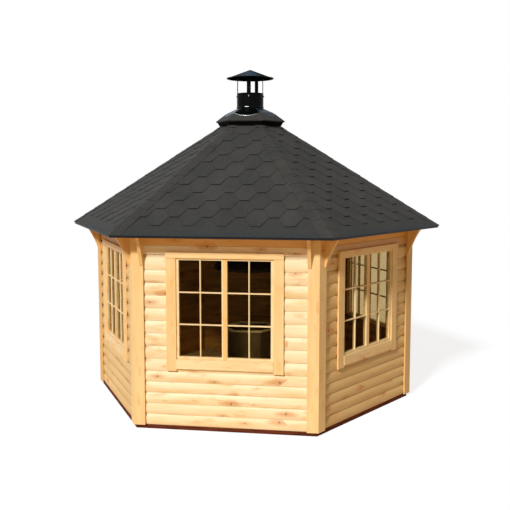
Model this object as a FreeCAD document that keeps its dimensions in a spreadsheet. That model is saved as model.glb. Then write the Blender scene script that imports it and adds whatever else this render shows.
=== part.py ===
import FreeCAD, Part
import os
import Sketcher

# A hexagonal barbecue pavilion of round-faced logs with a shingled roof, a chimney and a smoke hood.
# Millimetres. The origin is the middle of the plan on the ground, Z is up, the front wall faces -Y,
# and two corners lie on the X axis.

doc = FreeCAD.newDocument("barbecue_pavilion")
sheet = doc.addObject("Spreadsheet::Sheet", "Sizes")

sizes = {
    # Plan: the side of the hexagon, measured from arris to arris of the corner boards
    "side": 1900,
    # Ground frame and floor
    "base_height": 42,
    "base_width": 95,
    "base_inset": 30,
    "joist_width": 45,
    "joist_pitch": 600,
    "floor_thick": 20,
    "joint_gap": 1,
    # Log walls: a round face outside and a flat face with small grooves inside
    "log_thick": 45,
    "log_bulge": 14,
    "log_groove": 4,
    "low_course": 113,
    "low_rows": 5,
    "high_course": 130,
    "high_rows": 8,
    "top_course": 160,
    # Flat boards that close the wall between the logs and the roof
    "plate_height": 375,
    # Boards that lie on the crests of the logs
    "board_thick": 20,
    "corner_width": 118,
    # Windows
    "glass_width": 935,
    "glass_sill": 772,
    "glass_head": 1755,
    "glass_thick": 4,
    "mullion_width": 56,
    "stile_width": 28,
    "rail_width": 20,
    "sash_thick": 40,
    "sash_setback": 15,
    "lining_thick": 20,
    "lining_proud": 5,
    "casing_width": 102,
    "head_width": 56,
    "head_thick": 28,
    "sill_width": 99,
    "sill_thick": 26,
    "casing_drop": 24,
    "casing_reveal": 10,
    "sill_reveal": 7,
    # Door
    "door_width": 760,
    "leaf_thick": 40,
    "leaf_gap": 3,
    # Curved brackets under the eaves
    "bracket_thick": 35,
    "bracket_foot": 110,
    "bracket_nose": 10,
    "bracket_reach": 175,
    "bracket_tip": 25,
    "bracket_hollow": 16,
    # Roof
    "roof_pitch": 35.5,
    "roof_thick": 20,
    "overhang": 245,
    "rafter_width": 45,
    "rafter_depth": 95,
    # Cupola over the smoke opening
    "curb_apothem": 306,
    "curb_thick": 20,
    "curb_drop": 60,
    "cupola_gap": 52,
    "cupola_apothem": 350,
    "cupola_edge": 14,
    "cupola_thick": 24,
    "cupola_pitch": 39,
    "knee_apothem": 232,
    "crown_apothem": 162,
    "crown_pitch": 26.7,
    # Chimney
    "sheet_thick": 3,
    "collar_radius": 292,
    "stack_radius": 155,
    "stack_height": 227,
    "seam_height": 66,
    "seam_bead": 4,
    "cap_gap": 170,
    "cap_radius": 274,
    "cap_rise": 103,
    "strap_angle": 18,
    "strap_lap": 82,
    # Smoke hood and its pipe
    "hood_height": 1480,
    "hood_radius": 430,
    "hood_band": 40,
    "hood_rise": 400,
    "pipe_lap": 130,
    # Grill in the middle of the floor
    "grill_radius": 345,
    "grill_height": 715,
    "grill_rim": 25,
    "rim_proud": 12,
    "tray_margin": 34,
    "tray_depth": 60,
    # Slatted bench on the left, drawn out towards the grill
    "bench_height": 430,
    "slat_width": 190,
    "slat_gap": 8,
    "slat_thick": 28,
    "slat_count": 4,
    "bench_far": 430,
    "bench_end": 400,
    "bench_clear": 5,
    "leg_width": 45,
    "bearer_depth": 70,
}

for row, (alias, value) in enumerate(sizes.items(), 1):
    sheet.set("A%d" % row, alias)
    sheet.set("B%d" % row, str(value))
    sheet.setAlias("B%d" % row, alias)
doc.recompute()


def say(text):
    """Put the sheet's name before each size in a formula, so that any object can be bound to it."""
    words = []
    word = ""
    for letter in text + " ":
        if letter.isalnum() or letter == "_":
            word += letter
            continue
        words.append("Sizes." + word if word in sizes else word)
        words.append(letter)
        word = ""
    return "".join(words).strip()


def number(text):
    """The present value of a formula."""
    return float(sheet.evalExpression(say(text)))


# Lengths that follow from the sizes, written as formulas
FLAT = "cos(30deg)"
FACE = "(side * %s)" % FLAT
CREST = "(%s - board_thick)" % FACE
INNER = "(%s - log_thick)" % CREST
FLOOR_TOP = "(base_height + floor_thick)"
LOW_TOP = "(base_height + low_rows * low_course)"
HIGH_TOP = "(%s + high_rows * high_course)" % LOW_TOP
WALL_TOP = "(%s + top_course)" % HIGH_TOP
SLOPE = "tan(roof_pitch * 1deg)"
EAVE = "(%s + overhang)" % FACE
ROOF_DROP = "(roof_thick / cos(roof_pitch * 1deg))"


def under_roof(apothem):
    """Height of the underside of the roof at a distance from the centre, square to a wall."""
    return "(%s + plate_height + (%s - %s) * %s)" % (WALL_TOP, CREST, apothem, SLOPE)


def over_roof(apothem):
    """Height of the top of the roof at a distance from the centre, square to a wall."""
    return "(%s + %s)" % (under_roof(apothem), ROOF_DROP)


SKIRT = "(%s + cupola_gap)" % over_roof("curb_apothem")
KNEE = "(%s + cupola_edge + (cupola_apothem - knee_apothem) * tan(cupola_pitch * 1deg))" % SKIRT
STACK_TOP = "(%s + stack_height)" % KNEE
CAP_RIM = "(%s + cap_gap)" % STACK_TOP
STACK_BORE = "(stack_radius - sheet_thick)"
WALL_NAMES = ["front", "right_front", "right_back", "back", "left_back", "left_front"]
CORNER_NAMES = ["front_left", "front_right", "right", "back_right", "back_left", "left"]
WINDOW_WALLS = ["front", "right_front", "right_back", "left_front"]
DOOR_WALL = "left_back"
TURN = 60
parts = []


def origin(body, role):
    """A plane or an axis of a body's own origin."""
    return [feature for feature in body.Origin.OriginFeatures if feature.Role == role][0]


def new_body(name):
    """An empty body."""
    body = doc.addObject("PartDesign::Body", name)
    body.Label = name
    return body


def keep(item, turn=0):
    """Count an object among the pieces of the pavilion."""
    item.Placement = FreeCAD.Placement(FreeCAD.Vector(), FreeCAD.Rotation(FreeCAD.Vector(0, 0, 1), turn))
    parts.append(item)
    return item


def outline(body, role, loops, bows=None, offset=None):
    """A sketch of closed loops. Each corner is a pair of formulas bound to the sheet.

    bows gives, for the number of an edge in the first loop, a formula for how far it bows to its right.
    """
    sketch = body.newObject("Sketcher::SketchObject", body.Name + "_outline")
    sketch.AttachmentSupport = [(origin(body, role), "")]
    sketch.MapMode = "FlatFace"
    if offset:
        sketch.setExpression("AttachmentOffset.Base.z", say(offset))
    bows = bows or {}
    for loop_number, loop in enumerate(loops):
        spots = [FreeCAD.Vector(number(x), number(y), 0) for x, y in loop]
        first = sketch.GeometryCount
        ends = []
        for edge, start in enumerate(spots):
            stop = spots[(edge + 1) % len(spots)]
            bow = bows.get(edge) if loop_number == 0 else None
            if bow is None:
                sketch.addGeometry(Part.LineSegment(start, stop), False)
                ends.append((1, 2))
                continue
            along = (stop - start).normalize()
            middle = (start + stop) * 0.5 + FreeCAD.Vector(along.y, -along.x, 0) * number(bow)
            made = sketch.addGeometry(Part.Arc(start, middle, stop), False)
            forward = sketch.getPoint(made, 1).distanceToPoint(start) < 0.001
            ends.append((1, 2) if forward else (2, 1))
        for edge, (x, y) in enumerate(loop):
            made = first + edge
            last = first + (edge - 1) % len(loop)
            sketch.addConstraint(Sketcher.Constraint("Coincident", last, ends[edge - 1][1], made, ends[edge][0]))
            for kind, formula, value in (("DistanceX", x, spots[edge].x), ("DistanceY", y, spots[edge].y)):
                index = sketch.addConstraint(Sketcher.Constraint(kind, -1, 1, made, ends[edge][0], value))
                sketch.setExpression("Constraints[%d]" % index, say(formula))
        if loop_number == 0:
            for edge, bow in bows.items():
                (x1, y1), (x2, y2) = loop[edge], loop[(edge + 1) % len(loop)]
                half_squared = "(((%s) - (%s))^2 + ((%s) - (%s))^2) / 4" % (x2, x1, y2, y1)
                radius = "(%s + (%s)^2) / (2 * (%s))" % (half_squared, bow, bow)
                index = sketch.addConstraint(Sketcher.Constraint("Radius", first + edge, number(radius)))
                sketch.setExpression("Constraints[%d]" % index, say(radius))
    doc.recompute()
    return sketch


def pad(body, sketch, length, symmetric=False, reverse=False):
    """Material raised from a sketch."""
    feature = body.newObject("PartDesign::Pad", body.Name + "_pad")
    feature.Profile = sketch
    feature.SideType = "Symmetric" if symmetric else "One side"
    feature.Reversed = reverse
    feature.setExpression("Length", say(length))
    body.Tip = feature
    doc.recompute()
    return feature


def pocket(body, sketch):
    """A cut right through the body, to both sides of the sketch."""
    before = body.Shape.Volume
    feature = body.newObject("PartDesign::Pocket", body.Name + "_pocket")
    feature.Profile = sketch
    feature.SideType = "Symmetric"
    feature.Type = "ThroughAll"
    body.Tip = feature
    doc.recompute()
    if body.Shape.Volume > before - 1:
        raise RuntimeError(body.Name + ": a cut takes nothing away")
    return feature


def row_up(body, feature, spacing, count):
    """Copies of a feature stacked upwards."""
    pattern = body.newObject("PartDesign::LinearPattern", body.Name + "_rows")
    pattern.Originals = [feature]
    pattern.Direction = (origin(body, "Z_Axis"), [""])
    pattern.Mode = "Spacing"
    pattern.setExpression("Offset", say(spacing))
    pattern.setExpression("Occurrences", say(count))
    body.Tip = pattern
    doc.recompute()
    return pattern


def all_round(body, features=None):
    """Copies of features, or else of the whole body, at each side of the hexagon."""
    pattern = body.newObject("PartDesign::PolarPattern", body.Name + "_round")
    if features:
        pattern.Originals = features
    else:
        pattern.TransformMode = "Whole shape"
    pattern.Axis = (origin(body, "Z_Axis"), [""])
    pattern.Angle = 360
    pattern.Occurrences = len(WALL_NAMES)
    body.Tip = pattern
    doc.recompute()
    return pattern


def mitre(body, apothem):
    """Cut both ends of a piece along the lines that run from the centre to the corners.

    The cuts start near the centre and end beyond the outermost corner of the piece.
    """
    near = "(%s / 8)" % apothem
    far = "(%s * 2)" % apothem
    loops = []
    for sign in ("-", ""):
        loops.append([
            ("%s%s / 2" % (sign, near), "-%s * %s" % (near, FLAT)),
            ("%s%s / 2" % (sign, far), "-%s * %s" % (far, FLAT)),
            ("%s%s" % (sign, far), "-%s * %s" % (far, FLAT)),
            ("%s%s" % (sign, far), "-%s * %s" % (near, FLAT)),
        ])
    return pocket(body, outline(body, "XY_Plane", loops))


def sector(name, section, apothem):
    """A piece with a constant section that fills one side of the hexagon, mitred at both corners."""
    body = new_body(name)
    pad(body, outline(body, "YZ_Plane", [section]), "%s * 2" % apothem, symmetric=True)
    mitre(body, apothem)
    return body


def rectangle(left, low, right, high):
    """Corners of a rectangle, anticlockwise."""
    return [(left, low), (right, low), (right, high), (left, high)]


def ring_of_six(name, section, far):
    """Six like pieces round the hexagon, with a fine joint at each corner."""
    plan = new_body(name)
    outer, inner, low, high, inner_high = section
    half = "(%s * tan(30deg) - joint_gap)"
    corners = [
        ("-" + half % outer, "-" + outer),
        (half % outer, "-" + outer),
        (half % inner, "-" + inner),
        ("-" + half % inner, "-" + inner),
    ]
    sketch = outline(plan, "XY_Plane", [corners], offset=low)
    board = pad(plan, sketch, "%s - %s" % (far, low))
    features = [board]
    if inner_high:
        over = [
            ("-" + outer, high),
            ("-" + inner, inner_high),
            ("-" + inner, far + " + joint_gap"),
            ("-" + outer, far + " + joint_gap"),
        ]
        features.append(pocket(plan, outline(plan, "YZ_Plane", [over])))
    all_round(plan, features)
    keep(plan)
    return plan


# Ground frame: six pressure-treated beams, a little behind the face of the walls, with joists between them
BASE_FACE = "(%s - base_inset)" % FACE
BASE_IN = "(%s - base_width)" % BASE_FACE
ground_frame = ring_of_six("base_beams", (BASE_FACE, BASE_IN, "0", "base_height", None), "base_height")
joists = []
for step in (-2, -1, 0, 1, 2):
    left = "(%d * joist_pitch - joist_width / 2)" % step
    right = "(%s + joist_width)" % left
    ends = ["(min(%s; (%s / %s - abs(%s)) * tan(60deg)) - 2 * joint_gap)" % (BASE_IN, BASE_IN, FLAT, x)
            for x in (left, right)]
    joists.append([(left, "-" + ends[0]), (right, "-" + ends[1]), (right, ends[1]), (left, ends[0])])
pad(ground_frame, outline(ground_frame, "XY_Plane", joists), "base_height")

# Floor: one deck inside the walls, carried by the ground frame
floor = new_body("floor")
deck = [("%s * tan(30deg) * %s" % (INNER, x), "%s * %s" % (INNER, y)) for x, y in
        (("2", "0"), ("1", "1"), ("-1", "1"), ("-2", "0"), ("-1", "-1"), ("1", "-1"))]
pad(floor, outline(floor, "XY_Plane", [deck], offset="base_height"), "floor_thick")
keep(floor)


def log(body, low, course):
    """One log, with its round face outside and the arrises of its flat face taken off."""
    valley = "-(%s - log_bulge)" % CREST
    flat = "-" + INNER
    eased = "-(%s + log_groove)" % INNER
    section = [
        (valley, "%s + %s" % (low, course)),
        (valley, low),
        (eased, low),
        (flat, "%s + log_groove" % low),
        (flat, "%s + %s - log_groove" % (low, course)),
        (eased, "%s + %s" % (low, course)),
    ]
    sketch = outline(body, "YZ_Plane", [section], bows={0: "log_bulge"})
    return pad(body, sketch, "side + board_thick", symmetric=True)


def opening(body, half_width, low):
    """A window or door opening, open at the top of the logs where the flat boards close it."""
    loop = rectangle("-" + half_width, low, half_width, "%s + joint_gap" % WALL_TOP)
    pocket(body, outline(body, "XZ_Plane", [loop]))


# Walls: stacked logs, mitred at the corners
WINDOW_HALF = "(glass_width / 2 + stile_width + lining_thick)"
WINDOW_LOW = "(glass_sill - rail_width - lining_thick)"
DOOR_HALF = "(door_width / 2 + leaf_gap + lining_thick)"
for index, name in enumerate(WALL_NAMES):
    wall = new_body("wall_" + name)
    row_up(wall, log(wall, "base_height", "low_course"), "low_course", "low_rows")
    row_up(wall, log(wall, LOW_TOP, "high_course"), "high_course", "high_rows")
    log(wall, HIGH_TOP, "top_course")
    mitre(wall, "side")
    if name in WINDOW_WALLS:
        opening(wall, WINDOW_HALF, WINDOW_LOW)
    if name == DOOR_WALL:
        opening(wall, DOOR_HALF, "base_height + floor_thick - lining_thick")
    keep(wall, index * TURN)

# Wall plate: flat boards from the logs up to the roof, bevelled to its slope
ring_of_six("wall_plate", (CREST, INNER, WALL_TOP, under_roof(CREST), under_roof(INNER)), under_roof(INNER))

# Corner boards: two boards that meet at the arris and lie on the crests of the logs
for index, name in enumerate(CORNER_NAMES):
    corner = new_body("corner_" + name)
    plan = [
        ("side", "0"),
        ("side - corner_width / 2", "corner_width * %s" % FLAT),
        ("side - corner_width / 2 - board_thick * %s" % FLAT, "corner_width * %s - board_thick / 2" % FLAT),
        ("side - board_thick / %s" % FLAT, "0"),
        ("side - corner_width / 2 - board_thick * %s" % FLAT, "board_thick / 2 - corner_width * %s" % FLAT),
        ("side - corner_width / 2", "-corner_width * %s" % FLAT),
    ]
    sketch = outline(corner, "XY_Plane", [plan], offset="base_height")
    pad(corner, sketch, "%s - base_height" % under_roof(FACE))
    keep(corner, 240 + index * TURN)

# Eave brackets: one at the inner edge of each corner board, hollowed in front by a curve
BRACKET_LOW = "(%s - bracket_foot)" % WALL_TOP
BRACKET_TIP = "(%s + bracket_reach)" % FACE
bracket_side = [
    ("-" + FACE, under_roof(FACE)),
    ("-" + FACE, BRACKET_LOW),
    ("-(%s + bracket_nose)" % FACE, BRACKET_LOW),
    ("-" + BRACKET_TIP, "%s - bracket_tip" % under_roof(BRACKET_TIP)),
    ("-" + BRACKET_TIP, under_roof(BRACKET_TIP)),
]
BRACKET_EDGE = "(side / 2 - corner_width)"
brackets = new_body("eave_brackets")
curve = {2: "bracket_hollow"}
right_sketch = outline(brackets, "YZ_Plane", [bracket_side], bows=curve, offset=BRACKET_EDGE)
right_bracket = pad(brackets, right_sketch, "bracket_thick")
left_sketch = outline(brackets, "YZ_Plane", [bracket_side], bows=curve, offset="-" + BRACKET_EDGE)
left_bracket = pad(brackets, left_sketch, "bracket_thick", reverse=True)
all_round(brackets, [right_bracket, left_bracket])
keep(brackets)


def board(body, loop, back, thick):
    """Boards that stand out from a plane at a distance from the centre, square to the wall."""
    sketch = outline(body, "XZ_Plane", [loop], offset=back)
    return pad(body, sketch, thick)


# Windows: casing boards outside, and a lining with two sashes in the opening
CASING_IN = "(glass_width / 2 + stile_width)"
CASING_OUT = "(%s + casing_width)" % CASING_IN
HEAD_LOW = "(%s - lining_thick - casing_reveal)" % WALL_TOP
SASH_LOW = "(glass_sill - rail_width)"
SASH_TOP = "(%s - lining_thick)" % WALL_TOP
SASH_BACK = "(%s - sash_setback - sash_thick)" % FACE
SIDE_LOW = "(%s - sill_reveal - sill_width - casing_drop)" % SASH_LOW
for name in WINDOW_WALLS:
    turn = WALL_NAMES.index(name) * TURN
    casing = new_body("casing_" + name)
    side_high = "%s - joint_gap" % HEAD_LOW
    board(casing, rectangle("-" + CASING_OUT, SIDE_LOW, "-" + CASING_IN, side_high), CREST, "board_thick")
    board(casing, rectangle(CASING_IN, SIDE_LOW, CASING_OUT, side_high), CREST, "board_thick")
    head = rectangle("-" + CASING_OUT, HEAD_LOW, CASING_OUT, "%s + head_width" % HEAD_LOW)
    board(casing, head, CREST, "head_thick")
    sill_half = "(%s - joint_gap)" % CASING_IN
    sill_low = "%s + casing_drop" % SIDE_LOW
    sill = rectangle("-" + sill_half, sill_low, sill_half, "%s + sill_width" % sill_low)
    board(casing, sill, CREST, "sill_thick")
    keep(casing, turn)

    window = new_body("window_" + name)
    lining_outer = rectangle("-" + WINDOW_HALF, WINDOW_LOW, WINDOW_HALF, WALL_TOP)
    lining_inner = rectangle("-" + CASING_IN, SASH_LOW, CASING_IN, SASH_TOP)
    lining = outline(window, "XZ_Plane", [lining_outer, lining_inner], offset="%s - lining_proud" % INNER)
    pad(window, lining, "log_thick + lining_proud")
    panes = [
        rectangle("-glass_width / 2", "glass_sill", "-mullion_width / 2", "glass_head"),
        rectangle("mullion_width / 2", "glass_sill", "glass_width / 2", "glass_head"),
    ]
    sashes = outline(window, "XZ_Plane", [lining_inner] + panes, offset=SASH_BACK)
    pad(window, sashes, "sash_thick")
    keep(window, turn)

# Glass: one sheet in each sash
glass = new_body("window_glass")
pane_sketch = outline(glass, "XZ_Plane", panes, offset="%s + sash_thick / 2 - glass_thick / 2" % SASH_BACK)
first_panes = pad(glass, pane_sketch, "glass_thick")
for name in WINDOW_WALLS[1:]:
    copy = glass.newObject("PartDesign::PolarPattern", "glass_" + name)
    copy.Originals = [first_panes]
    copy.Axis = (origin(glass, "Z_Axis"), [""])
    copy.Angle = WALL_NAMES.index(name) * TURN
    copy.Mode = "Extent"
    copy.Occurrences = 2
    glass.Tip = copy
    doc.recompute()
keep(glass)

# Door in the wall behind on the left: lining, casing boards and a boarded leaf
door_turn = WALL_NAMES.index(DOOR_WALL) * TURN
DOOR_IN = "(door_width / 2 + leaf_gap)"
door_frame = new_body("door_frame")
frame_outer = rectangle("-" + DOOR_HALF, "base_height", DOOR_HALF, WALL_TOP)
frame_inner = rectangle("-" + DOOR_IN, FLOOR_TOP, DOOR_IN, SASH_TOP)
frame_sketch = outline(door_frame, "XZ_Plane", [frame_outer, frame_inner], offset=INNER)
pad(door_frame, frame_sketch, "log_thick")
keep(door_frame, door_turn)

door_casing = new_body("door_casing")
DOOR_OUT = "(%s + casing_width)" % DOOR_IN
door_side_high = "%s - joint_gap" % HEAD_LOW
left_side = rectangle("-" + DOOR_OUT, "base_height", "-" + DOOR_IN, door_side_high)
right_side = rectangle(DOOR_IN, "base_height", DOOR_OUT, door_side_high)
board(door_casing, left_side, CREST, "board_thick")
board(door_casing, right_side, CREST, "board_thick")
door_head = rectangle("-" + DOOR_OUT, HEAD_LOW, DOOR_OUT, "%s + head_width" % HEAD_LOW)
board(door_casing, door_head, CREST, "head_thick")
keep(door_casing, door_turn)

door_leaf = new_body("door_leaf")
leaf = rectangle("-door_width / 2", FLOOR_TOP, "door_width / 2", SASH_TOP)
board(door_leaf, leaf, SASH_BACK, "leaf_thick")
keep(door_leaf, door_turn)

# Roof: six panels of boards and shingles that meet on the hips
for index, name in enumerate(WALL_NAMES):
    section = [
        ("-" + EAVE, under_roof(EAVE)),
        ("-curb_apothem", under_roof("curb_apothem")),
        ("-curb_apothem", over_roof("curb_apothem")),
        ("-" + EAVE, over_roof(EAVE)),
    ]
    keep(sector("roof_" + name, section, EAVE), index * TURN)

# Hip rafters: under the joints of the panels, from the wall plate to the curb
rafters = new_body("hip_rafters")
RAFTER_DROP = "(rafter_width / 4 * %s)" % SLOPE
RAFTER_OUT = "((%s - rafter_width / 4) / %s)" % (INNER, FLAT)
RAFTER_IN = "(curb_apothem / %s)" % FLAT
RAFTER_HEIGHT = "(rafter_depth * sqrt(1 + (%s * %s)^2))" % (SLOPE, FLAT)


def rafter_top(radius):
    """Height of a rafter's top edges, which touch the panels on both sides of the hip."""
    return "(%s - %s)" % (under_roof("%s * %s" % (radius, FLAT)), RAFTER_DROP)


rafter_side = [
    (RAFTER_OUT, rafter_top(RAFTER_OUT)),
    (RAFTER_IN, rafter_top(RAFTER_IN)),
    (RAFTER_IN, "%s - %s" % (rafter_top(RAFTER_IN), RAFTER_HEIGHT)),
    (RAFTER_OUT, "%s - %s" % (rafter_top(RAFTER_OUT), RAFTER_HEIGHT)),
]
rafter = pad(rafters, outline(rafters, "XZ_Plane", [rafter_side]), "rafter_width", symmetric=True)
all_round(rafters, [rafter])
keep(rafters)

# Curb: six boards round the smoke opening, from below the rafters up to the cupola
CURB_IN = "(curb_apothem - curb_thick)"


def under_cupola(apothem):
    """Height of the underside of the cupola's skirt."""
    return "(%s - cupola_thick - (%s - knee_apothem) * tan(cupola_pitch * 1deg))" % (KNEE, apothem)


curb_low = "(%s - curb_drop)" % under_roof("curb_apothem")
curb_section = ("curb_apothem", CURB_IN, curb_low, under_cupola("curb_apothem"), under_cupola(CURB_IN))
ring_of_six("roof_curb", curb_section, under_cupola(CURB_IN))

# Cupola: a small hipped roof over the opening, flatter at its crown, with a hexagonal hole for the stack
CROWN = "(%s + (knee_apothem - crown_apothem) * tan(crown_pitch * 1deg))" % KNEE
SKIRT_IN = "(knee_apothem + (%s - cupola_thick - %s) / tan(cupola_pitch * 1deg))" % (KNEE, SKIRT)
cupola_section = [
    ("-cupola_apothem", SKIRT),
    ("-" + SKIRT_IN, SKIRT),
    ("-knee_apothem", "%s - cupola_thick" % KNEE),
    ("-crown_apothem", "%s - cupola_thick" % CROWN),
    ("-crown_apothem", CROWN),
    ("-knee_apothem", KNEE),
    ("-cupola_apothem", "%s + cupola_edge" % SKIRT),
]
cupola = sector("cupola", cupola_section, "cupola_apothem")
all_round(cupola)
keep(cupola)


def turned(name, section):
    """A piece of revolution about the Z axis. Its section is given as radius and height."""
    body = new_body(name)
    sketch = outline(body, "XZ_Plane", [section])
    feature = body.newObject("PartDesign::Revolution", name + "_turned")
    feature.Profile = sketch
    feature.ReferenceAxis = (origin(body, "Z_Axis"), [""])
    feature.Angle = 360
    body.Tip = feature
    doc.recompute()
    keep(body)
    return body


# Storm collar: a round sheet of metal, folded over the six hips of the cupola, that grips the stack
COLLAR_IN = "(stack_radius * %s)" % FLAT
COLLAR_CROWN = "(%s + (knee_apothem - %s) * tan(crown_pitch * 1deg))" % (KNEE, COLLAR_IN)
COLLAR_HEM = "(%s - (collar_radius - knee_apothem) * tan(cupola_pitch * 1deg))" % KNEE
folded_sheet = sector("folded_sheet", [
    ("-collar_radius", COLLAR_HEM),
    ("-knee_apothem", KNEE),
    ("-" + COLLAR_IN, COLLAR_CROWN),
    ("-" + COLLAR_IN, "%s + sheet_thick" % COLLAR_CROWN),
    ("-knee_apothem", "%s + sheet_thick" % KNEE),
    ("-collar_radius", "%s + sheet_thick" % COLLAR_HEM),
], "collar_radius")
all_round(folded_sheet)


def upright_cylinder(name, radius, low, high):
    """A cylinder about the Z axis between two heights."""
    cylinder = doc.addObject("Part::Cylinder", name)
    cylinder.setExpression("Radius", say(radius))
    cylinder.setExpression("Height", say("%s - %s" % (high, low)))
    cylinder.setExpression("Placement.Base.z", say(low))
    return cylinder


round_sheet = doc.addObject("Part::Common", "round_sheet")
round_sheet.Base = folded_sheet
round_sheet.Tool = upright_cylinder("collar_rim", "collar_radius", SKIRT, STACK_TOP)
storm_collar = doc.addObject("Part::Cut", "storm_collar")
storm_collar.Base = round_sheet
storm_collar.Tool = upright_cylinder("collar_hole", "stack_radius", SKIRT, STACK_TOP)
keep(storm_collar)

# Stack: a sheet-metal tube with a beaded seam
SEAM = "(%s + seam_height)" % KNEE
turned("chimney_stack", [
    (STACK_BORE, KNEE),
    ("stack_radius", KNEE),
    ("stack_radius", "%s - seam_bead" % SEAM),
    ("stack_radius + seam_bead", SEAM),
    ("stack_radius", "%s + seam_bead" % SEAM),
    ("stack_radius", STACK_TOP),
    (STACK_BORE, STACK_TOP),
])

# Cap: a shallow cone of sheet metal over the stack
turned("chimney_cap", [
    ("0", "%s + cap_rise" % CAP_RIM),
    ("0", "%s + cap_rise - sheet_thick" % CAP_RIM),
    ("cap_radius - sheet_thick", CAP_RIM),
    ("cap_radius", CAP_RIM),
])

# Cap straps: four curved strips that stand inside the mouth of the stack and carry the cap
strap_turns = [0, 69, 180, 273]
CAP_SLOPE = "((cap_rise - sheet_thick) / (cap_radius - sheet_thick))"
STRAP_TOP = "(%s + (cap_radius - sheet_thick - %s) * %s)" % (CAP_RIM, STACK_BORE, CAP_SLOPE)
straps = []
for index, strap_turn in enumerate(strap_turns):
    solids = []
    for radius in (STACK_BORE, "(%s - sheet_thick)" % STACK_BORE):
        strap_name = "strap_%d_%d" % (index, len(solids))
        tube = upright_cylinder(strap_name, radius, "(%s - strap_lap)" % STACK_TOP, STRAP_TOP)
        tube.setExpression("Angle", say("strap_angle"))
        tube.setExpression("Placement.Rotation.Angle", say("%d - strap_angle / 2" % strap_turn))
        tube.Placement.Rotation.Axis = FreeCAD.Vector(0, 0, 1)
        solids.append(tube)
    strap = doc.addObject("Part::Cut", "strap_%d" % index)
    strap.Base, strap.Tool = solids
    straps.append(strap)
cap_straps = doc.addObject("Part::Compound", "cap_straps")
cap_straps.Links = straps
keep(cap_straps)

# Smoke hood: a cone with an upright band at its rim, and the pipe that slides up into the stack
HOOD_TOP = "(hood_height + hood_band + hood_rise)"
turned("smoke_hood", [
    ("hood_radius", "hood_height"),
    ("hood_radius", "hood_height + hood_band"),
    (STACK_BORE, HOOD_TOP),
    (STACK_BORE, "%s - pipe_lap" % STACK_TOP),
    ("%s - sheet_thick" % STACK_BORE, "%s - pipe_lap" % STACK_TOP),
    ("%s - sheet_thick" % STACK_BORE, HOOD_TOP),
    ("hood_radius - sheet_thick", "hood_height + hood_band"),
    ("hood_radius - sheet_thick", "hood_height"),
])


def hexagon(radius):
    """Corners of a hexagon with two of them on the X axis."""
    steps = (("1", "0"), ("0.5", "1"), ("-0.5", "1"), ("-1", "0"), ("-0.5", "-1"), ("0.5", "-1"))
    return [("%s * %s" % (radius, x), "%s * %s * %s" % (radius, FLAT, y)) for x, y in steps]


# Grill: a hexagonal sheet-metal body with a rim and a sunk tray, open below
GRILL_TOP = "(%s + grill_height)" % FLOOR_TOP
grill = new_body("grill")
shell_radius = "(grill_radius - rim_proud)"
hollow = "(%s - sheet_thick)" % shell_radius
skirt_sketch = outline(grill, "XY_Plane", [hexagon(shell_radius), hexagon(hollow)], offset=FLOOR_TOP)
pad(grill, skirt_sketch, "grill_height - grill_rim")
tray_radius = "(%s - tray_margin)" % shell_radius
rim = outline(grill, "XY_Plane", [hexagon("grill_radius"), hexagon(tray_radius)], offset="%s - grill_rim" % GRILL_TOP)
pad(grill, rim, "grill_rim")
tray_side = [hexagon("(%s + sheet_thick)" % tray_radius), hexagon(tray_radius)]
pad(grill, outline(grill, "XY_Plane", tray_side, offset="%s - tray_depth" % GRILL_TOP), "tray_depth")
tray_floor = outline(grill, "XY_Plane", [hexagon("(%s + sheet_thick)" % tray_radius)],
                     offset="%s - tray_depth - sheet_thick" % GRILL_TOP)
pad(grill, tray_floor, "sheet_thick")
keep(grill)

# Bench: slats that run from the wall at the front left towards the grill, on two trestles.
# Its own X axis points along the slats, 60 degrees from that of the pavilion.
SLAT_LOW = "(%s + bench_height - slat_thick)" % FLOOR_TOP
SLAT_PITCH = "(slat_width + slat_gap)"
BENCH_BACK = "(%s - bench_clear)" % INNER


def slat_end(distance, level):
    """Where a wall's line, at a distance from the centre, crosses a level on the slats' side of it."""
    return "-((%s - %s / 2) / %s)" % (distance, level, FLAT)


bench_seat = new_body("bench_seat")
slats = []
for index in range(int(number("slat_count"))):
    high = "(bench_far - %d * %s)" % (index, SLAT_PITCH)
    low = "(%s - slat_width)" % high
    slats.append([
        (slat_end(BENCH_BACK, "abs%s" % high), high),
        (slat_end(BENCH_BACK, "abs%s" % low), low),
        (slat_end("bench_end", low), low),
        (slat_end("bench_end", high), high),
    ])
bench_low = low
pad(bench_seat, outline(bench_seat, "XY_Plane", slats, offset=SLAT_LOW), "slat_thick")
keep(bench_seat, TURN)

bench_trestles = new_body("bench_trestles")
trestle = [
    (bench_low, FLOOR_TOP),
    (bench_low, SLAT_LOW),
    ("bench_far", SLAT_LOW),
    ("bench_far", FLOOR_TOP),
    ("bench_far - leg_width", FLOOR_TOP),
    ("bench_far - leg_width", "%s - bearer_depth" % SLAT_LOW),
    ("%s + leg_width" % bench_low, "%s - bearer_depth" % SLAT_LOW),
    ("%s + leg_width" % bench_low, FLOOR_TOP),
]
near_end = "%s - 2 * leg_width" % slat_end("bench_end", bench_low)
wall_end = "%s + 3 * leg_width" % slat_end(BENCH_BACK, "bench_far")
for place in (near_end, wall_end):
    pad(bench_trestles, outline(bench_trestles, "YZ_Plane", [trestle], offset=place), "leg_width")
keep(bench_trestles, TURN)

doc.recompute()
for item in doc.Objects:
    if "Invalid" in item.State or "Error" in item.State:
        raise RuntimeError("%s: %s" % (item.Name, item.State))
for item in parts:
    if item.Shape.isNull() or not item.Shape.isValid() or item.Shape.Volume <= 0:
        raise RuntimeError(item.Label + " has no sound shape")

os.makedirs("parts", exist_ok=True)
for item in parts:
    item.Shape.exportStep("parts/%s.step" % item.Label)
print("%d pieces" % len(parts))
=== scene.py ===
import math
import random

import bmesh
import bpy
from mathutils import Matrix, Vector


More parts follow.
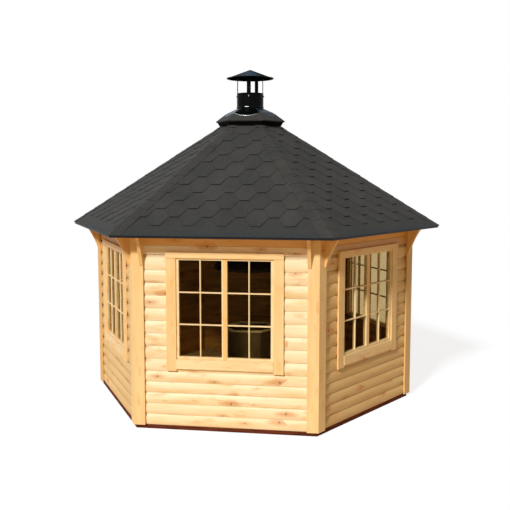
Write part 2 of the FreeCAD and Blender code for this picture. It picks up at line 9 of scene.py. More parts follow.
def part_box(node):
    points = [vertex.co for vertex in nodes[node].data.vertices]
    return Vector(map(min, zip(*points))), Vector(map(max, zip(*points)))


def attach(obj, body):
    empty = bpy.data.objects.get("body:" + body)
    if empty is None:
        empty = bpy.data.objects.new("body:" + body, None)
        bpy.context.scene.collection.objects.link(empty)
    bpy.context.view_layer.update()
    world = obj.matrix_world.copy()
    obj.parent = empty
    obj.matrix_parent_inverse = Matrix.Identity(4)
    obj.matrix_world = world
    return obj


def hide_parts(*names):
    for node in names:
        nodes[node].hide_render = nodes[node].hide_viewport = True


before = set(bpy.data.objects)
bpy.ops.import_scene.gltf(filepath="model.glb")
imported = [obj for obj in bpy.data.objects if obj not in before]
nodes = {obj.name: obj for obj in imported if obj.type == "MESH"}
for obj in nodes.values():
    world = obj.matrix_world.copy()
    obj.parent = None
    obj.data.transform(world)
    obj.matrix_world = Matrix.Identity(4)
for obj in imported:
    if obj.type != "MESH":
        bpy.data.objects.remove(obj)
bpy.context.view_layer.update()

# Camera: it stands a little to the right of the front wall, well above head height and nine metres away.
# It looks slightly down, and the picture's middle is the middle of its view.
PICTURE_SIDE = 510
FOCAL_PIXELS = 798.0
SENSOR_MM = 36
CAMERA_SPOT = (1.501, -9.358, 2.663)
LOOK_DOWN = 6.168
LOOK_LEFT = 8.772
camera_data = bpy.data.cameras.new("camera")
camera_data.sensor_width = SENSOR_MM
camera_data.lens = FOCAL_PIXELS / PICTURE_SIDE * SENSOR_MM
camera = bpy.data.objects.new("camera", camera_data)
camera.location = CAMERA_SPOT
camera.rotation_euler = (math.radians(90 - LOOK_DOWN), 0, math.radians(LOOK_LEFT))
bpy.context.scene.collection.objects.link(camera)
bpy.context.scene.camera = camera
bpy.context.scene.view_settings.view_transform = "Standard"


# Daylight, floor and backdrop: a soft low sun from the front left and an even pale sky all round.
# The floor is matt and pale, and shows to the camera as white with a faint shadow under the walls.
def linear(code):
    """An sRGB colour, written as #RRGGBB, in the linear values that shaders take."""
    shares = [int(code[i:i + 2], 16) / 255 for i in (1, 3, 5)]
    return [c / 12.92 if c <= 0.04045 else ((c + 0.055) / 1.055) ** 2.4 for c in shares] + [1]


def add(tree, kind, inputs=None, **settings):
    """Add a node with its settings. Each input named takes a value, a hex colour, a node or one of its outputs."""
    node = tree.nodes.new("ShaderNode" + kind)
    for name, value in settings.items():
        setattr(node, name, value)
    for name, value in (inputs or {}).items():
        if isinstance(value, bpy.types.Node):
            value = value.outputs[0]
        if isinstance(value, bpy.types.NodeSocket):
            tree.links.new(value, node.inputs[name])
        else:
            node.inputs[name].default_value = linear(value) if isinstance(value, str) else value
    return node


def new_finish(name):
    """An empty material with its node tree."""
    finish = bpy.data.materials.new(name)
    finish.use_nodes = True
    finish.node_tree.nodes.clear()
    return finish, finish.node_tree


def seen_directly(tree):
    """1 for a ray from the camera, and for one that a mirror or a pane sends on."""
    path = add(tree, "LightPath").outputs
    either = add(tree, "Math", {0: path["Is Camera Ray"], 1: path["Is Glossy Ray"]}, operation="MAXIMUM")
    return add(tree, "Math", {0: either, 1: path["Is Transmission Ray"]}, operation="MAXIMUM")


SKY_STRENGTH = 0.27
world = bpy.data.worlds.new("pale_sky")
bpy.context.scene.world = world
world.use_nodes = True
tree = world.node_tree
tree.nodes.clear()
light_sky = add(tree, "Background", {"Color": "#D8C49E", "Strength": SKY_STRENGTH})
white_sky = add(tree, "Background", {"Color": "#FFFFFF", "Strength": 1})
both = add(tree, "MixShader", {0: seen_directly(tree), 1: light_sky, 2: white_sky})
add(tree, "OutputWorld", {"Surface": both})

SUN_STRENGTH = 3.0
SUN_WIDTH = 7
SUN_HEIGHT = 33.2
SUN_TRAVEL = 72
sun_data = bpy.data.lights.new("sun", "SUN")
sun_data.energy = SUN_STRENGTH
sun_data.angle = math.radians(SUN_WIDTH)
sun = bpy.data.objects.new("sun", sun_data)
sun.rotation_euler = (math.radians(90 - SUN_HEIGHT), 0, math.radians(SUN_TRAVEL - 90))
bpy.context.scene.collection.objects.link(sun)

FLOOR_HALF = 60
FLOOR_DROP = 0.001
FLOOR_GLOW = 0.84
floor_shape = bmesh.new()
bmesh.ops.create_grid(floor_shape, x_segments=1, y_segments=1, size=FLOOR_HALF)
floor_mesh = bpy.data.meshes.new("studio_floor")
floor_shape.to_mesh(floor_mesh)
floor_shape.free()
studio_floor = bpy.data.objects.new("studio_floor", floor_mesh)
studio_floor.location.z = -FLOOR_DROP
bpy.context.scene.collection.objects.link(studio_floor)
pale_floor, tree = new_finish("pale_floor")
lit_floor = add(tree, "BsdfDiffuse", {"Color": "#E6C48E"})
soft_shadow = add(tree, "BsdfDiffuse", {"Color": "#868890"})
glow = add(tree, "Emission", {"Color": "#FFFFFF", "Strength": FLOOR_GLOW})
seen_floor = add(tree, "AddShader", {0: glow, 1: soft_shadow})
floor_mix = add(tree, "MixShader", {0: seen_directly(tree), 1: lit_floor, 2: seen_floor})
add(tree, "OutputMaterial", {"Surface": floor_mix})
floor_mesh.materials.append(pale_floor)


# Ground frame: beams and joists of softwood that was pressure-treated brown against damp.
# Sawn, so its face is rough and matt, with dark streaks of the stain along the grain.
def paint(finish, *names):
    """Give CAD nodes a finish."""
    for name in names:
        mesh = nodes[name].data
        mesh.materials.clear()
        mesh.materials.append(finish)


def in_wall_axes(tree, turn=0):
    """The place on the object, turned so that X runs along a wall, Y out of the back and Z up."""
    place = add(tree, "TexCoord").outputs["Object"]
    return add(tree, "Mapping", {"Vector": place, "Rotation": (0, 0, math.radians(-turn))})


def surface(tree, colour, roughness, relief=None, depth=0.0, **extra):
    """End a material in one Principled shader, with a fine relief in metres."""
    sockets = {"Base Color": colour, "Roughness": roughness}
    sockets.update({name.replace("_", " "): value for name, value in extra.items()})
    if relief is not None:
        sockets["Normal"] = add(tree, "Bump", {"Height": relief, "Strength": 1.0, "Distance": depth})
    add(tree, "OutputMaterial", {"Surface": add(tree, "BsdfPrincipled", sockets)})


treated_timber, tree = new_finish("treated_softwood")
stretched = add(tree, "VectorMath", {0: in_wall_axes(tree), 1: (6, 6, 60)}, operation="MULTIPLY")
streaks = add(tree, "TexNoise", {"Vector": stretched, "Scale": 1, "Detail": 4})
share = add(tree, "MapRange", {0: streaks, 1: 0.35, 2: 0.65})
colour = add(tree, "MixRGB", {0: share, 1: "#4A2010", 2: "#6B3420"})
surface(tree, colour, 0.85, streaks, 0.002, Specular_IOR_Level=0.1)
paint(treated_timber, "base_beams")

# Floor: planed softwood boards, 95 mm wide, laid side by side with a fine gap, trodden and matt.
# Each board has a tone of its own, and its grain runs along it.
FLOOR_BOARD = 0.095
GAP_SHARE = 0.04
floor_boards, tree = new_finish("softwood_floor_boards")
place = in_wall_axes(tree)
rows = add(tree, "SeparateXYZ", {0: place}).outputs["Y"]
rows = add(tree, "Math", {0: rows, 1: FLOOR_BOARD}, operation="DIVIDE")
across = add(tree, "Math", {0: rows}, operation="FRACT")
number = add(tree, "Math", {0: rows}, operation="FLOOR")
tone = add(tree, "TexWhiteNoise", {"W": number}, noise_dimensions="1D").outputs["Value"]
stretched = add(tree, "VectorMath", {0: place, 1: (2, 30, 30)}, operation="MULTIPLY")
grain = add(tree, "TexNoise", {"Vector": stretched, "Scale": 1, "Detail": 4})
share = add(tree, "MapRange", {0: grain, 1: 0.35, 2: 0.65})
colour = add(tree, "MixRGB", {0: share, 1: "#A97F4E", 2: "#C79F6C"})
share = add(tree, "MapRange", {0: tone, 4: 0.35})
colour = add(tree, "MixRGB", {0: share, 1: colour, 2: "#8F673A"})
gap = add(tree, "Math", {0: across, 1: GAP_SHARE}, operation="LESS_THAN")
surface(tree, add(tree, "MixRGB", {0: gap, 1: colour, 2: "#1E140B"}), 0.6, gap, -0.003)
paint(floor_boards, "floor")

# Log walls: spruce, planed to a round face and tongued into each other, under a clear satin oil.
# Each log has its own tone, straight grain, honey-coloured streaks, and brown knots in dark rings.
LOW_COURSE = 0.113
HIGH_COURSE = 0.130
LOW_ROWS = 5
ROWS = 14
WALLS = ["front", "right_front", "right_back", "back", "left_back", "left_front"]
TURN = 60
KNOT_SPACING = 0.30
KNOT_RADIUS = 0.019
KNOT_RING = 0.007
HALO_RING = 0.03
HALO_SQUEEZE = 0.32
JOINT_SHADE = 0.006
JOINT_LINE = 0.002
logs_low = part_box("wall_front")[0].z
wall_face = -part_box("wall_front")[0].y
wall_inner = -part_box("wall_front")[1].y


def log_rows(tree, height):
    """Count the courses of logs from the ground frame up, with parts of a course as decimals."""
    above = add(tree, "Math", {0: height, 1: logs_low}, operation="SUBTRACT")
    low = add(tree, "Math", {0: above, 1: LOW_COURSE}, operation="DIVIDE")
    past = add(tree, "Math", {0: height, 1: logs_low + LOW_ROWS * LOW_COURSE}, operation="SUBTRACT")
    past = add(tree, "Math", {0: past, 1: 0.0}, operation="MAXIMUM")
    thinner = 1 / HIGH_COURSE - 1 / LOW_COURSE
    less = add(tree, "Math", {0: past, 1: thinner, 2: low}, operation="MULTIPLY_ADD")
    return add(tree, "Math", {0: less, 1: ROWS - 0.01}, operation="MINIMUM")


def spruce(name, turn=0, upright=None, board=0.13, rows=None, pale="#F8E4B8", honey="#EFC98A", knots=0.5,
           indoors=None, tone=None, joint_dust_and_shade=0.0):
    """Planed spruce. The grain runs along the wall, or up where upright is 1.

    board is the width of a board, and rows a function that numbers the boards by height.
    Nearer to the centre than indoors, the wood is painted darker brown: painted shade for the dim inside of the cabin.
    tone is a function for how far a place is deepened to orange: by age in the light on the window casings and sashes,
    and partly as painted shade of the eave on the plate boards.
    The last argument is how far the joints between the boards are darkened, with dust and with painted shade.
    """
    finish, tree = new_finish(name)
    axes = add(tree, "SeparateXYZ", {0: in_wall_axes(tree, turn)}).outputs
    along, across = axes["X"], axes["Z"]
    if upright is not None:
        share = upright(tree, axes) if callable(upright) else upright
        along = add(tree, "Mix", {0: share, 2: axes["X"], 3: axes["Z"]})
        across = add(tree, "Mix", {0: share, 2: axes["Z"], 3: axes["X"]})
    count = rows(tree, axes["Z"]) if rows else add(tree, "Math", {0: across, 1: board}, operation="DIVIDE")
    number = add(tree, "Math", {0: count}, operation="FLOOR")
    seed = add(tree, "Math", {0: number, 1: 1.0, 2: turn / 7.0 + 3.3}, operation="MULTIPLY_ADD")
    own_tone = add(tree, "TexWhiteNoise", {"W": seed}, noise_dimensions="1D").outputs["Value"]
    slid = add(tree, "Math", {0: own_tone, 1: 9.0, 2: along}, operation="MULTIPLY_ADD")

    # Knots: one chance for each stretch of a board, as a round core in a long pale halo
    cell_x = add(tree, "Math", {0: slid, 1: KNOT_SPACING}, operation="DIVIDE")
    inside = add(tree, "Math", {0: count}, operation="FRACT")
    cell_y = add(tree, "Math", {0: seed, 1: 3.0, 2: inside}, operation="MULTIPLY_ADD")
    cells = add(tree, "CombineXYZ", {"X": cell_x, "Y": cell_y})
    knot = add(tree, "TexVoronoi", {"Vector": cells, "Scale": 1, "Randomness": 0.9}, voronoi_dimensions="2D").outputs
    away = add(tree, "VectorMath", {0: cells, 1: knot["Position"]}, operation="SUBTRACT")
    stretched = add(tree, "VectorMath", {0: cells, 1: (5, 2, 0)}, operation="MULTIPLY")
    wobble = add(tree, "TexNoise", {"Vector": stretched, "Scale": 1, "Detail": 2}).outputs[1]
    bend = add(tree, "VectorMath", {0: wobble, 1: (0.5, 0.5, 0.5)}, operation="SUBTRACT")
    bend = add(tree, "VectorMath", {0: bend, 1: (0.08, 0.22, 0)}, operation="MULTIPLY")
    away = add(tree, "VectorMath", {0: away, 1: bend}, operation="ADD")
    distances = []
    for squeeze in (1, HALO_SQUEEZE):
        metres = add(tree, "VectorMath", {0: away, 1: (KNOT_SPACING * squeeze, board, 0)}, operation="MULTIPLY")
        distances.append(add(tree, "VectorMath", {0: metres}, operation="LENGTH").outputs["Value"])
    luck = add(tree, "SeparateColor", {0: knot["Color"]})
    radius = add(tree, "MapRange", {0: luck, 1: 1 - knots, 3: -KNOT_RADIUS / 3, 4: KNOT_RADIUS})
    core = add(tree, "Math", {0: radius, 1: distances[0]}, operation="SUBTRACT")
    core = add(tree, "MapRange", {0: core, 2: KNOT_RING})
    reach = add(tree, "Math", {0: radius, 1: 3.0}, operation="MULTIPLY")
    halo = add(tree, "Math", {0: reach, 1: distances[1]}, operation="SUBTRACT")
    halo = add(tree, "MapRange", {0: halo, 2: HALO_RING})

    # Grain: long streaks, bent round the knots, fine year rings and short darker patches
    bent = add(tree, "Math", {0: halo, 1: 0.02, 2: across}, operation="MULTIPLY_ADD")
    lay = add(tree, "CombineXYZ", {"X": slid, "Y": bent, "Z": axes["Y"]})
    grains = []
    for scale, detail in (((1.6, 13, 13), 3), ((3, 110, 110), 2), ((5, 14, 14), 2)):
        stretched = add(tree, "VectorMath", {0: lay, 1: scale}, operation="MULTIPLY")
        grains.append(add(tree, "TexNoise", {"Vector": stretched, "Scale": 1, "Detail": detail}))
    broad, fine, patch = grains
    colour = pale
    for source, low, high, most, tint in (
            (broad, 0.45, 0.72, 0.7, honey), (fine, 0.45, 0.75, 0.2, "#D9A45C"),
            (patch, 0.58, 0.74, 0.6, "#E2A25A"), (own_tone, 0, 1, 0.22, "#E8C184"),
            (halo, 0, 1, 0.65, "#CF8A44"), (core, 0, 1, 0.7, "#7A4A24")):
        share = add(tree, "MapRange", {0: source, 1: low, 2: high, 4: most})
        colour = add(tree, "MixRGB", {0: share, 1: colour, 2: tint})
    if tone is not None:
        colour = add(tree, "MixRGB", {0: tone(tree, axes), 1: colour, 2: "#E8A834"})
    # Dust and painted shade: the joints between the boards are darkened, as the shade in their grooves.
    if joint_dust_and_shade:
        off_middle = add(tree, "Math", {0: inside, 1: 0.5}, operation="SUBTRACT")
        off_middle = add(tree, "Math", {0: off_middle}, operation="ABSOLUTE")
        share = add(tree, "MapRange", {0: off_middle, 1: 0.5 - JOINT_SHADE / board, 2: 0.5 - JOINT_LINE / board,
                                       4: joint_dust_and_shade})
        colour = add(tree, "MixRGB", {0: share, 1: colour, 2: "#6B4420"})
    # Painted shade: the inner faces are painted darker brown, so that the inside looks dim.
    if indoors is not None:
        inner = add(tree, "MapRange", {0: axes["Y"], 1: -indoors - 0.012, 2: -indoors - 0.004})
        inside_shade_share = add(tree, "MapRange", {0: broad, 1: 0.35, 2: 0.65, 3: 0.74, 4: 0.4})
        inside_painted_shade = add(tree, "MixRGB", {0: inside_shade_share, 1: colour, 2: "#5C341A"})
        colour = add(tree, "MixRGB", {0: inner, 1: colour, 2: inside_painted_shade})
    surface(tree, colour, 0.55, fine, 0.0006)
    return finish


# Painted light and shade: the front wall's logs get a paler palette than the other five walls, whose darker palette
# and darker joints are painted shade.
for index, wall in enumerate(WALLS):
    pale, honey = ("#FAE9C2", "#EDC684") if wall == "front" else ("#E2C182", "#D0A35E")
    logs = spruce("round_spruce_logs_" + wall, index * TURN, rows=log_rows, pale=pale, honey=honey, knots=0.8,
                  indoors=wall_inner, joint_dust_and_shade=0.3 if wall == "front" else 0.5)
    paint(logs, "wall_" + wall)


# Wall plate: planed spruce boards with eased edges, that close the wall from the logs to the roof.
# The upper ones are behind the brackets, and all six walls have the same three courses.
def solid_between(shape, first, last, finish=0):
    """A closed solid between two outlines with as many corners."""
    start = [shape.verts.new(spot) for spot in first]
    end = [shape.verts.new(spot) for spot in last]
    count = len(start)
    faces = [shape.faces.new(start[::-1]), shape.faces.new(end)]
    for i in range(count):
        j = (i + 1) % count
        faces.append(shape.faces.new((start[i], start[j], end[j], end[i])))
    for face in faces:
        face.material_index = finish


def turned(spots, degrees):
    """Spots in front of the front wall, carried round to another side."""
    spin = Matrix.Rotation(math.radians(degrees), 3, "Z")
    return [spin @ Vector(spot) for spot in spots]


def side_solid(shape, first, last, degrees, finish=0):
    """A closed solid between two outlines in front of the front wall, carried round to another side."""
    solid_between(shape, turned(first, degrees), turned(last, degrees), finish)


def make_piece(name, shape, slot, *finishes):
    """Turn a finished mesh into a piece that stands with the pavilion."""
    bmesh.ops.recalc_face_normals(shape, faces=shape.faces)
    mesh = bpy.data.meshes.new(name)
    shape.to_mesh(mesh)
    shape.free()
    for finish in finishes:
        mesh.materials.append(finish)
    piece = bpy.data.objects.new(name, mesh)
    bpy.context.scene.collection.objects.link(piece)
    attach(piece, "root")
    return piece


HALF_TURN = math.radians(TURN / 2)
TAN_HALF = math.tan(HALF_TURN)


def mitred(shape, section, turn, gap=0.0, finish=0):
    """A length with the same section all along, mitred at two corners of the hexagon.

    The section's points are (distance from the centre, height).
    """
    ends = [[(sign * (out * TAN_HALF - gap), -out, height) for out, height in section] for sign in (-1, 1)]
    side_solid(shape, *ends, turn, finish)


def eased_section(inner, outer, low, high, ease):
    """A board's section with its two outer edges taken off."""
    return [
        (inner, low), (outer - ease, low), (outer, low + ease),
        (outer, high - ease), (outer - ease, high), (inner, high),
    ]


BOARD_STEPS = (0.091, 0.233)
EASE = 0.0035
BOARD_GAP = 0.001
plate_low, plate_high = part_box("wall_plate")[0].z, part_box("wall_plate")[1].z
slope_low = max(v.co.z for v in nodes["wall_plate"].data.vertices if v.co.y < -wall_face + 0.0005)
levels = [plate_low] + [plate_low + step for step in BOARD_STEPS] + [slope_low]


def plate_tone_and_eave_shade(tree, axes):
    """The boards above the lowest one are deeper orange: partly their own tone, partly painted shade of the eave."""
    return add(tree, "MapRange", {0: axes["Z"], 1: levels[1], 2: levels[1] + 0.001, 4: 0.7})

# Painted light and shade: the front wall's plate boards are painted almost white, standing in for light under the
# eave, and the other walls' boards darker, as painted shade.
plate_finishes = []
for index, wall in enumerate(WALLS):
    pale, honey = ("#FFF4E0", "#FFE3B8") if wall == "front" else ("#CFA468", "#C08E4C")
    plate_finishes.append(spruce("plate_boards_" + wall, index * TURN, board=0.142, pale=pale, honey=honey,
                                 knots=0.7, tone=plate_tone_and_eave_shade))
plate = bmesh.new()
for index in range(len(WALLS)):
    for low, high in zip(levels, levels[1:]):
        section = eased_section(wall_inner, wall_face, low + BOARD_GAP / 2, high - BOARD_GAP / 2, EASE)
        if high == slope_low:
            section[-1] = (wall_inner, plate_high)
            section[-2] = (wall_face - EASE, high)
        mitred(plate, section, index * TURN, gap=0.001, finish=index)
plate_boards = make_piece("plate_boards", plate, "spruce_logs", *plate_finishes)
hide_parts("wall_plate")

# Corner boards and eave brackets: planed spruce, 20 mm and 35 mm thick, nailed to the crests of the logs.
# Their grain runs upwards, and the brackets are sawn to a curve.
CORNERS = ["front_left", "front_right", "right", "back_right", "back_left", "left"]
FIRST_CORNER = 240
# Painted light and shade: the corner boards at the front get a paler palette, and the others a darker one, as painted
# shade.
for index, corner in enumerate(CORNERS):
    pale, honey = ("#F4D498", "#EBBC74") if corner.startswith("front") else ("#DDB678", "#D09E58")
    finish = spruce("corner_boards_" + corner, FIRST_CORNER + index * TURN + 90, upright=1.0, board=0.24,
                    pale=pale, honey=honey, knots=0.35)
    paint(finish, "corner_" + corner)
paint(spruce("sawn_spruce_brackets", upright=1.0, board=0.2, pale="#EFC98A", honey="#DFA75F", knots=0.1),
      "eave_brackets")

# Windows: casing boards nailed to the logs, a lining in the opening, and two fixed sashes of spruce.
# Each sash has a bar down its middle and two across, that hold twelve panes in a window.
WINDOWS = ["front", "right_front", "right_back", "left_front"]
HEAD_BOARD = 0.056
LINING_LAP = 0.021
casing_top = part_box("casing_front")[1].z
SILL_TOP = 0.124
sill_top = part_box("casing_front")[0].z + SILL_TOP
PALE_EDGE = 0.012
lining_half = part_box("window_front")[1].x


def beside_opening(tree, axes):
    """1 on the boards that stand beside a window, 0 between them."""
    aside = add(tree, "Math", {0: axes["X"]}, operation="ABSOLUTE")
    return add(tree, "Math", {0: aside, 1: lining_half - LINING_LAP}, operation="GREATER_THAN")


def casing_grain(tree, axes):
    """1 on the upright boards at a window's sides, 0 on the head and sill boards."""
    under = add(tree, "Math", {0: axes["Z"], 1: casing_top - HEAD_BOARD}, operation="LESS_THAN")
    return add(tree, "Math", {0: beside_opening(tree, axes), 1: under}, operation="MULTIPLY")


def casing_tone(tree, axes):
    """All boards but the sill board have deepened to honey."""
    above = add(tree, "Math", {0: axes["Z"], 1: sill_top}, operation="GREATER_THAN")
    either = add(tree, "Math", {0: beside_opening(tree, axes), 1: above}, operation="MAXIMUM")
    return add(tree, "Math", {0: either, 1: 0.25}, operation="MULTIPLY")


def mullion_tone(tree, axes):
    """The post between the sashes has deepened to honey, but for its left edge."""
    aside = add(tree, "Math", {0: axes["X"]}, operation="ABSOLUTE")
    within = add(tree, "MapRange", {0: aside, 1: mullion_half, 2: mullion_half - 0.001, 4: 0.55})
    inner = add(tree, "Math", {0: axes["X"], 1: PALE_EDGE - mullion_half}, operation="GREATER_THAN")
    return add(tree, "Math", {0: within, 1: inner}, operation="MULTIPLY")


glass_low, glass_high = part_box("window_glass")
front_glass = [v.co for v in nodes["window_glass"].data.vertices if v.co.y < glass_low.y + 0.005]
glass_half = max(spot.x for spot in front_glass)
mullion_half = min(abs(spot.x) for spot in front_glass)
glass_out = -glass_low.y
glass_in = -max(spot.y for spot in front_glass)
BAR_HALF = 0.0075
BAR_NOSE_HALF = 0.0045
BAR_DEPTH = 0.014
PANE_ROWS = 3


def bar_section(middle, base, tip):
    """The section of a bar on one face of the glass: wide on the glass and narrower in front."""
    return [(middle - BAR_HALF, base), (middle + BAR_HALF, base), (middle + BAR_HALF, (base + tip) / 2),
            (middle + BAR_NOSE_HALF, tip), (middle - BAR_NOSE_HALF, tip), (middle - BAR_HALF, (base + tip) / 2)]


for wall in WINDOWS:
    turn = WALLS.index(wall) * TURN
    paint(spruce("casing_boards_" + wall, turn, upright=casing_grain, board=0.25, pale="#F8E0AE",
                 honey="#F0C888", knots=0.4, tone=casing_tone), "casing_" + wall)
    sash_wood = spruce("spruce_sash_" + wall, turn, upright=0.5, board=0.3, pale="#F9E3B4", honey="#F0CD8F", knots=0.0,
                       tone=mullion_tone)
    paint(sash_wood, "window_" + wall)
    bars = bmesh.new()
    for sign in (-1, 1):
        left, right = sorted((sign * mullion_half, sign * glass_half))
        middle = (left + right) / 2
        for base, tip in ((glass_out, glass_out + BAR_DEPTH), (glass_in, glass_in - BAR_DEPTH)):
            upright_bar = bar_section(middle, base, tip)
            side_solid(bars, *[[(x, -y, z) for x, y in upright_bar] for z in (glass_low.z, glass_high.z)], turn)
            for row in range(1, PANE_ROWS):
                cross_bar = bar_section(glass_low.z + (glass_high.z - glass_low.z) * row / PANE_ROWS, base, tip)
                for ends in ((left, middle - BAR_NOSE_HALF), (middle + BAR_NOSE_HALF, right)):
                    side_solid(bars, *[[(x, -y, z) for z, y in cross_bar] for x in ends], turn)
    make_piece("glazing_bars_" + wall, bars, "spruce_sashes", sash_wood)

# Glass: float glass, 4 mm thick, one sheet in each sash between the bars on its two faces.
# It is smooth and clear and hardly mirrors; its brown tint is painted shade, that dims the inside seen through it and
# the light it lets in.
# Painted shade: the brown tint on the sheet and on the light it lets through.
DIMMING_TINT = "#D6C8A8"
clear_glass, tree = new_finish("shade_tinted_float_glass")
sheet = add(tree, "BsdfPrincipled", {"Base Color": DIMMING_TINT, "Roughness": 0.0, "IOR": 1.015, "Transmission Weight": 1.0})
let_through = add(tree, "BsdfTransparent", {"Color": DIMMING_TINT})
lamp_ray = add(tree, "LightPath").outputs["Is Shadow Ray"]
add(tree, "OutputMaterial", {"Surface": add(tree, "MixShader", {0: lamp_ray, 1: sheet, 2: let_through})})
paint(clear_glass, "window_glass")

# Door: a leaf of upright tongued boards on three ledges with two braces, in a lining with casing boards.
# Planed spruce outside, a little darker within, and screwed together from behind.
DOOR_TURN = WALLS.index("left_back") * TURN
LEAF_BOARDS = 8
BOARD_SHARE = 0.55
LEDGE = 0.095
LEDGE_INSET = 0.12
LEDGE_SHORT = 0.03
BRACE = 0.13
GROOVE = 0.004
paint(spruce("door_lining", DOOR_TURN, upright=1.0, knots=0.1), "door_frame")
door_casing_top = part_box("door_casing")[1].z


def door_grain(tree, axes):
    """1 on the upright boards beside the door, 0 on the head board."""
    return add(tree, "Math", {0: axes["Z"], 1: door_casing_top - HEAD_BOARD}, operation="LESS_THAN")


# Painted shade: the door's casing and leaf boards get the darker palette of the shaded walls.
paint(spruce("door_casing_boards", DOOR_TURN, upright=door_grain, board=0.25, pale="#DDB678", honey="#D09E58",
             knots=0.4), "door_casing")
spin_back = Matrix.Rotation(math.radians(-DOOR_TURN), 3, "Z")
leaf_spots = [spin_back @ v.co for v in nodes["door_leaf"].data.vertices]
leaf_half = max(spot.x for spot in leaf_spots)
leaf_out, leaf_in = -min(spot.y for spot in leaf_spots), -max(spot.y for spot in leaf_spots)
leaf_low, leaf_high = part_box("door_leaf")[0].z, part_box("door_leaf")[1].z
board_back = leaf_out - (leaf_out - leaf_in) * BOARD_SHARE
board_width = 2 * leaf_half / LEAF_BOARDS
leaf = bmesh.new()
for number in range(LEAF_BOARDS):
    left = -leaf_half + number * board_width
    right = left + board_width
    section = [(left, board_back), (right, board_back), (right, leaf_out - GROOVE), (right - GROOVE, leaf_out),
               (left + GROOVE, leaf_out), (left, leaf_out - GROOVE)]
    side_solid(leaf, *[[(x, -y, z) for x, y in section] for z in (leaf_low, leaf_high)], DOOR_TURN)
ledges = [leaf_low + LEDGE_INSET, (leaf_low + leaf_high - LEDGE) / 2, leaf_high - LEDGE_INSET - LEDGE]
reach = leaf_half - LEDGE_SHORT
outlines = [[(-reach, low), (reach, low), (reach, low + LEDGE), (-reach, low + LEDGE)] for low in ledges]
for low, high in zip(ledges, ledges[1:]):
    foot, head = low + LEDGE + 0.001, high - 0.001
    outlines.append([(-reach, foot), (-reach + BRACE, foot), (reach, head), (reach - BRACE, head)])
for outline in outlines:
    ends = [[(x, -y, z) for x, z in outline] for y in (leaf_in, board_back - 0.0005)]
    side_solid(leaf, *ends, DOOR_TURN, 1)
leaf_wood = spruce("door_leaf_boards", DOOR_TURN, upright=1.0, board=board_width, pale="#D9B272", honey="#C4924E",
                   joint_dust_and_shade=0.8)
ledge_wood = spruce("door_ledges", DOOR_TURN, board=0.4)
door_boards = make_piece("door_boards", leaf, "spruce_boards", leaf_wood, ledge_wood)
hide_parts("door_leaf")
# Roof: tongued spruce boards, laid along the eaves, seen from below, on six hip rafters.
# Their upper side is under the shingles.
roof_spots = [v.co for v in nodes["roof_front"].data.vertices]
eave = -min(spot.y for spot in roof_spots)
curb_face = -max(spot.y for spot in roof_spots)
eave_top = max(spot.z for spot in roof_spots if spot.y < -eave + 0.001)
eave_low = min(spot.z for spot in roof_spots)
roof_top = max(spot.z for spot in roof_spots)
pitch = math.atan2(roof_top - eave_top, eave - curb_face)
for index, wall in enumerate(WALLS):
    paint(spruce("roof_boards_" + wall, index * TURN, board=0.055, pale="#E9C48A", honey="#D9A762", joint_dust_and_shade=0.6),
          "roof_" + wall)
paint(spruce("hip_rafter_spruce", upright=0.5, board=0.1, pale="#E9C48A", honey="#D9A762"), "hip_rafters")

# Drip edge: a strip of dark coated sheet steel, bent over the edge of the roof boards.
# It is 1 mm sheet, drawn 2 mm thick so that it shows.
DRIP_UP = 0.06
DRIP_SHEET = 0.002
drip_steel, tree = new_finish("dark_coated_steel")
surface(tree, "#0E0F11", 0.5, Specular_IOR_Level=0.2)
drip = bmesh.new()
upper = eave_top + DRIP_UP * math.tan(pitch)
drip_section = [
    (eave - DRIP_UP, upper + DRIP_SHEET), (eave + DRIP_SHEET, eave_top + DRIP_SHEET),
    (eave + DRIP_SHEET, eave_low), (eave, eave_low), (eave, eave_top), (eave - DRIP_UP, upper),
]
for index in range(len(WALLS)):
    mitred(drip, drip_section, index * TURN)
make_piece("drip_edge", drip, "black_sheet_steel", drip_steel)

# Shingles: bitumen felt with charcoal slate granules, cut to half-hexagon tabs, a third of a metre apart.
# Nailed in courses that cover each other's heads, each one half a tab aside from the last.
TAB_PERIOD = 1 / 3
TAB_FLAT = 0.095
TAB_SHOULDER = 0.119
EXPOSURE = 0.135
FIRST_COURSE = 0.147
EAVE_LAP = 0.012
FELT = 0.004
LIFT = 0.006
CURL = 0.005
LIFT_SPREAD = 0.0015
HEAD_LAP = 0.02
# The grains are 1 to 2 mm, drawn as 9 mm specks so that they show from across a garden
SPECK = 0.009


def slate(name, dark, pale, edge=None):
    """Felt under slate granules, whose tone drifts between two. edge is the tone close to the eave."""
    finish, tree = new_finish(name)
    place = add(tree, "TexCoord").outputs["Object"]
    specks = add(tree, "TexVoronoi", {"Vector": place, "Scale": 1 / SPECK}).outputs["Color"]
    speck_tone = add(tree, "SeparateColor", {0: specks})
    cloud = add(tree, "TexNoise", {"Vector": place, "Scale": 3.5, "Detail": 3})
    share = add(tree, "MapRange", {0: cloud, 1: 0.35, 2: 0.65})
    colour = add(tree, "MixRGB", {0: share, 1: dark, 2: pale})
    if edge is not None:
        height = add(tree, "SeparateXYZ", {0: place}).outputs["Z"]
        share = add(tree, "MapRange", {0: height, 1: eave_top + 0.015, 2: eave_top + 0.05})
        colour = add(tree, "MixRGB", {0: share, 1: edge, 2: colour})
    share = add(tree, "MapRange", {0: speck_tone, 4: 0.4})
    colour = add(tree, "MixRGB", {0: share, 1: colour, 2: "#4A4A49"})
    surface(tree, colour, 0.9, speck_tone, 0.0012, Specular_IOR_Level=0.25)
    return finish


